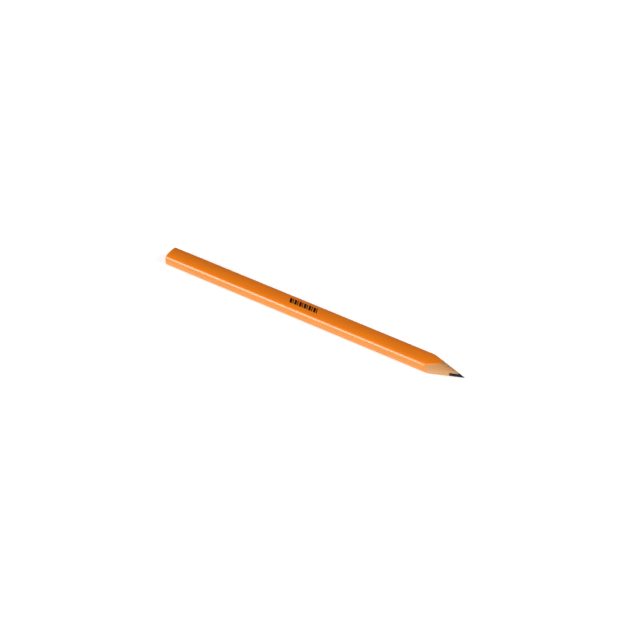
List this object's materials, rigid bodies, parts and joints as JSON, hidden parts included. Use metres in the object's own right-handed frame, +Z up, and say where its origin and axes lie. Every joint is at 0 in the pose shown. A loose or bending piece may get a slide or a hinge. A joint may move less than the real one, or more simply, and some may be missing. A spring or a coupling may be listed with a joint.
{
  "type": "carpenter pencil",
  "caption": "Flat wooden carpenter's pencil: crowned rectangular body in orange gloss lacquer, sharpened to a cone at one end on a wide flat graphite core.",
  "frame": {"origin": "under the middle of the pencil, on the surface that its lower broad face lies on", "axes": "+X along the pencil towards the point, +Y across its width, +Z up through its thickness"},
  "size_m": [0.178, 0.0104, 0.0074],
  "materials": {
    "wood": "sharpened bare softwood, fine straight grain",
    "glue": "thin dried wood glue",
    "graphite": "cut graphite and clay, faint metallic sheen",
    "lacquer": "glossy orange pencil lacquer",
    "imprint": "black stamped foil"
  },
  "bodies": {
    "root": {"upper_slat": "wood", "lower_slat": "wood", "left_glue_line": "glue", "right_glue_line": "glue", "graphite_core": "graphite", "lacquer_coat": "lacquer", "imprint": "imprint"}
  },
  "joints": []
}
